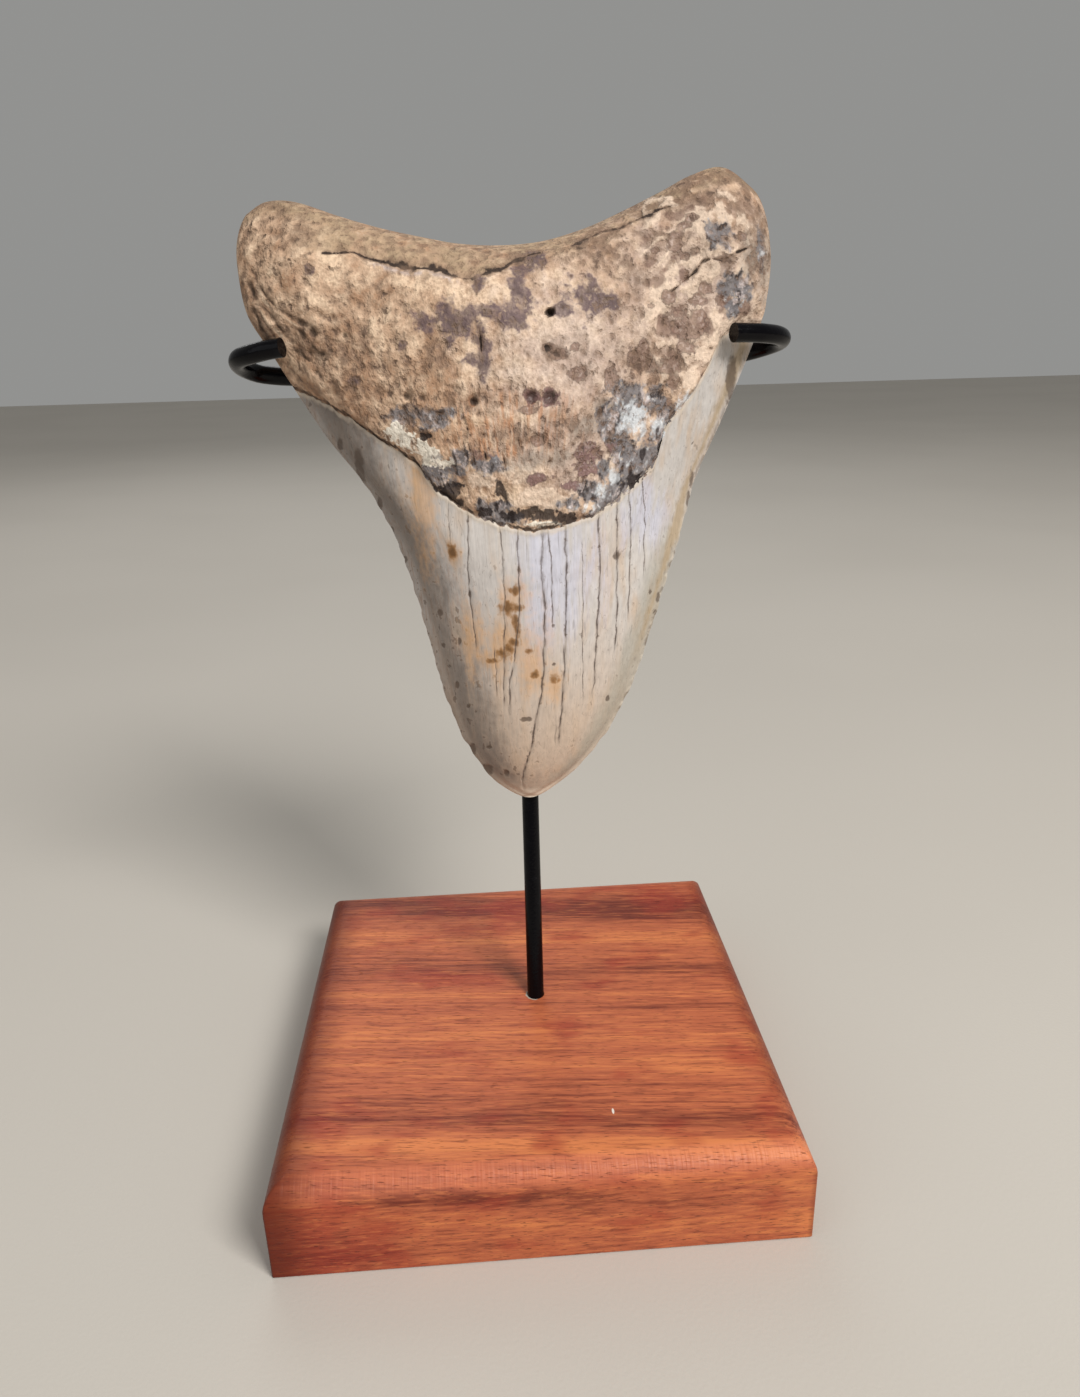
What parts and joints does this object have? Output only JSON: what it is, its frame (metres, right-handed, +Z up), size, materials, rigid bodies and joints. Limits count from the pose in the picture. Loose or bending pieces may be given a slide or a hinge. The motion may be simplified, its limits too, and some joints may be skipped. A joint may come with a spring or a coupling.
{
  "type": "megalodon tooth on a stand",
  "caption": "Large triangular fossil shark tooth, tip down, held by a hooked black wire cradle on a leaning post set in a square hardwood base.",
  "frame": {"origin": "centre of the base's underside", "axes": "+Z up, -Y towards the viewer of the tooth's curved inner face, +X to that viewer's right"},
  "size_m": [0.1139, 0.1, 0.19],
  "materials": {
    "wood": "satin oiled red-brown hardwood",
    "black_paint": "semi-gloss black",
    "fossil": "satin enamel, rough porous root"
  },
  "bodies": {
    "root": {"base": "wood", "post": "black_paint", "cradle": "black_paint", "tooth": "fossil"}
  },
  "joints": []
}
